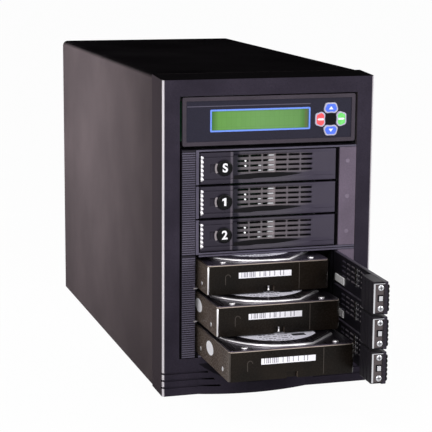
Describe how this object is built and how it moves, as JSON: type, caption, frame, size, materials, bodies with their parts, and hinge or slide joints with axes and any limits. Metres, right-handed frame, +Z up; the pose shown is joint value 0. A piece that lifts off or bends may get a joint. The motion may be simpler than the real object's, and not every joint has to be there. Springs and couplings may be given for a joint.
{
  "type": "hard drive duplicator",
  "caption": "Tower copier for bare hard drives: a control panel with a display and keys above stacked hinged bay doors, open ones showing drives part way out.",
  "frame": {"origin": "on the floor, under the middle of the whole machine with its lower doors open as in the picture", "axes": "+Z up, -Y towards the front with the doors, +X towards the hinge side of the doors"},
  "size_m": [0.177, 0.5088, 0.2574],
  "materials": {
    "bezel_plastic": "fine satin black moulding",
    "cover_paint": "smooth dark satin paint",
    "plain_steel": "plain zinc-grey sheet",
    "foot_rubber": "matt black",
    "panel_plastic": "fine satin dark moulding",
    "screen_plastic": "clear front over a lit green field",
    "circuit_board": "green solder mask",
    "key_blue": "translucent blue",
    "key_red": "translucent red",
    "key_green": "translucent green",
    "rack_plastic": "satin dark grey moulding",
    "door_plastic": "satin dark grey moulding",
    "strip_plastic": "satin purple-grey moulding",
    "latch_plastic": "polished black",
    "end_plate_steel": "bright plated sheet",
    "drive_casting": "glossy black coat",
    "drive_lid": "dark polished steel",
    "black_plastic": "satin black"
  },
  "bodies": {
    "tower": {"bay_cage": "plain_steel", "case_cover": "cover_paint", "control_board": "circuit_board", "control_panel": "panel_plastic", "exhaust_fan_frame": "black_plastic", "floor_pan": "plain_steel", "foot_front_left": "foot_rubber", "foot_front_right": "foot_rubber", "foot_rear_left": "foot_rubber", "foot_rear_right": "foot_rubber", "front_bezel": "bezel_plastic", "lcd_screen": "screen_plastic", "lower_backplane": "circuit_board", "lower_hinge_pin": "plain_steel", "lower_indicator_strip": "strip_plastic", "lower_rack_cage": "plain_steel", "lower_rack_frame": "rack_plastic", "power_inlet": "black_plastic", "power_supply_case": "plain_steel", "rear_panel": "cover_paint", "upper_backplane": "circuit_board", "upper_hinge_pin": "plain_steel", "upper_indicator_strip": "strip_plastic", "upper_rack_cage": "plain_steel", "upper_rack_frame": "rack_plastic"},
    "lower_door_1": {"lower_door_1": "door_plastic", "lower_door_end_plate_1": "end_plate_steel"},
    "lower_latch_1": {"lower_door_latch_1": "latch_plastic"},
    "lower_door_2": {"lower_door_2": "door_plastic", "lower_door_end_plate_2": "end_plate_steel"},
    "lower_latch_2": {"lower_door_latch_2": "latch_plastic"},
    "lower_door_3": {"lower_door_3": "door_plastic", "lower_door_end_plate_3": "end_plate_steel"},
    "lower_latch_3": {"lower_door_latch_3": "latch_plastic"},
    "upper_door_1": {"upper_door_1": "door_plastic", "upper_door_end_plate_1": "end_plate_steel"},
    "upper_latch_1": {"upper_door_latch_1": "latch_plastic"},
    "upper_door_2": {"upper_door_2": "door_plastic", "upper_door_end_plate_2": "end_plate_steel"},
    "upper_latch_2": {"upper_door_latch_2": "latch_plastic"},
    "upper_door_3": {"upper_door_3": "door_plastic", "upper_door_end_plate_3": "end_plate_steel"},
    "upper_latch_3": {"upper_door_latch_3": "latch_plastic"},
    "drive_1": {"drive_1_casting": "drive_casting", "drive_1_lid": "drive_lid", "drive_1_board": "circuit_board"},
    "drive_2": {"drive_2_casting": "drive_casting", "drive_2_lid": "drive_lid", "drive_2_board": "circuit_board"},
    "drive_3": {"drive_3_casting": "drive_casting", "drive_3_lid": "drive_lid", "drive_3_board": "circuit_board"},
    "button_up": {"button_up": "key_blue"},
    "button_left": {"button_left": "key_red"},
    "button_down": {"button_down": "key_blue"},
    "button_right": {"button_right": "key_green"},
    "exhaust_rotor": {"exhaust_fan_rotor": "black_plastic"},
    "supply_rotor": {"power_supply_fan_rotor": "black_plastic"},
    "switch_rocker": {"power_switch_rocker": "black_plastic"}
  },
  "joints": [
    {"name": "lower_door_1_hinge", "type": "hinge", "parent": "tower", "child": "lower_door_1", "pos_m": [0.058, -0.13747, 0.04624], "axis": [0, 0, 1], "range_deg": [-5, 7]},
    {"name": "lower_door_1_latch_slide", "type": "slide", "parent": "lower_door_1", "child": "lower_latch_1", "axis": [0.0349, 0.9994, 0], "range_m": [0, 0.0025], "stiffness_N_per_m": 400},
    {"name": "lower_door_2_hinge", "type": "hinge", "parent": "tower", "child": "lower_door_2", "pos_m": [0.058, -0.13747, 0.07333], "axis": [0, 0, 1], "range_deg": [-10.5, 7]},
    {"name": "lower_door_2_latch_slide", "type": "slide", "parent": "lower_door_2", "child": "lower_latch_2", "axis": [0.0349, 0.9994, 0], "range_m": [0, 0.0025], "stiffness_N_per_m": 400},
    {"name": "lower_door_3_hinge", "type": "hinge", "parent": "tower", "child": "lower_door_3", "pos_m": [0.058, -0.13747, 0.10042], "axis": [0, 0, 1], "range_deg": [-23, 7]},
    {"name": "lower_door_3_latch_slide", "type": "slide", "parent": "lower_door_3", "child": "lower_latch_3", "axis": [0.0349, 0.9994, 0], "range_m": [0, 0.0025], "stiffness_N_per_m": 400},
    {"name": "upper_door_1_hinge", "type": "hinge", "parent": "tower", "child": "upper_door_1", "pos_m": [0.058, -0.13747, 0.1309], "axis": [0, 0, 1], "range_deg": [0, 95]},
    {"name": "upper_door_1_latch_slide", "type": "slide", "parent": "upper_door_1", "child": "upper_latch_1", "axis": [1, 0, 0], "range_m": [0, 0.0025], "stiffness_N_per_m": 400},
    {"name": "upper_door_2_hinge", "type": "hinge", "parent": "tower", "child": "upper_door_2", "pos_m": [0.058, -0.13747, 0.15799], "axis": [0, 0, 1], "range_deg": [0, 95]},
    {"name": "upper_door_2_latch_slide", "type": "slide", "parent": "upper_door_2", "child": "upper_latch_2", "axis": [1, 0, 0], "range_m": [0, 0.0025], "stiffness_N_per_m": 400},
    {"name": "upper_door_3_hinge", "type": "hinge", "parent": "tower", "child": "upper_door_3", "pos_m": [0.058, -0.13747, 0.18508], "axis": [0, 0, 1], "range_deg": [0, 95]},
    {"name": "upper_door_3_latch_slide", "type": "slide", "parent": "upper_door_3", "child": "upper_latch_3", "axis": [1, 0, 0], "range_m": [0, 0.0025], "stiffness_N_per_m": 400},
    {"name": "drive_1_slide", "type": "slide", "parent": "tower", "child": "drive_1", "axis": [0, -1, 0], "range_m": [-0.0934, 0.004]},
    {"name": "drive_2_slide", "type": "slide", "parent": "tower", "child": "drive_2", "axis": [0, -1, 0], "range_m": [-0.0614, 0.036]},
    {"name": "drive_3_slide", "type": "slide", "parent": "tower", "child": "drive_3", "axis": [0, -1, 0], "range_m": [-0.0354, 0.062]},
    {"name": "button_up_press", "type": "slide", "parent": "tower", "child": "button_up", "axis": [0, 1, 0], "range_m": [0, 0.0012], "stiffness_N_per_m": 300},
    {"name": "button_left_press", "type": "slide", "parent": "tower", "child": "button_left", "axis": [0, 1, 0], "range_m": [0, 0.0012], "stiffness_N_per_m": 300},
    {"name": "button_down_press", "type": "slide", "parent": "tower", "child": "button_down", "axis": [0, 1, 0], "range_m": [0, 0.0012], "stiffness_N_per_m": 300},
    {"name": "button_right_press", "type": "slide", "parent": "tower", "child": "button_right", "axis": [0, 1, 0], "range_m": [0, 0.0012], "stiffness_N_per_m": 300},
    {"name": "exhaust_rotor_spin", "type": "hinge", "parent": "tower", "child": "exhaust_rotor", "pos_m": [0.024, 0.24, 0.092], "axis": [0, 1, 0], "continuous": true},
    {"name": "supply_rotor_spin", "type": "hinge", "parent": "tower", "child": "supply_rotor", "pos_m": [0.022, 0.238, 0.2094], "axis": [0, 1, 0], "continuous": true},
    {"name": "power_switch_rock", "type": "hinge", "parent": "tower", "child": "switch_rocker", "pos_m": [-0.045, 0.25093, 0.1924], "axis": [1, 0, 0], "range_deg": [-20, 0]}
  ]
}
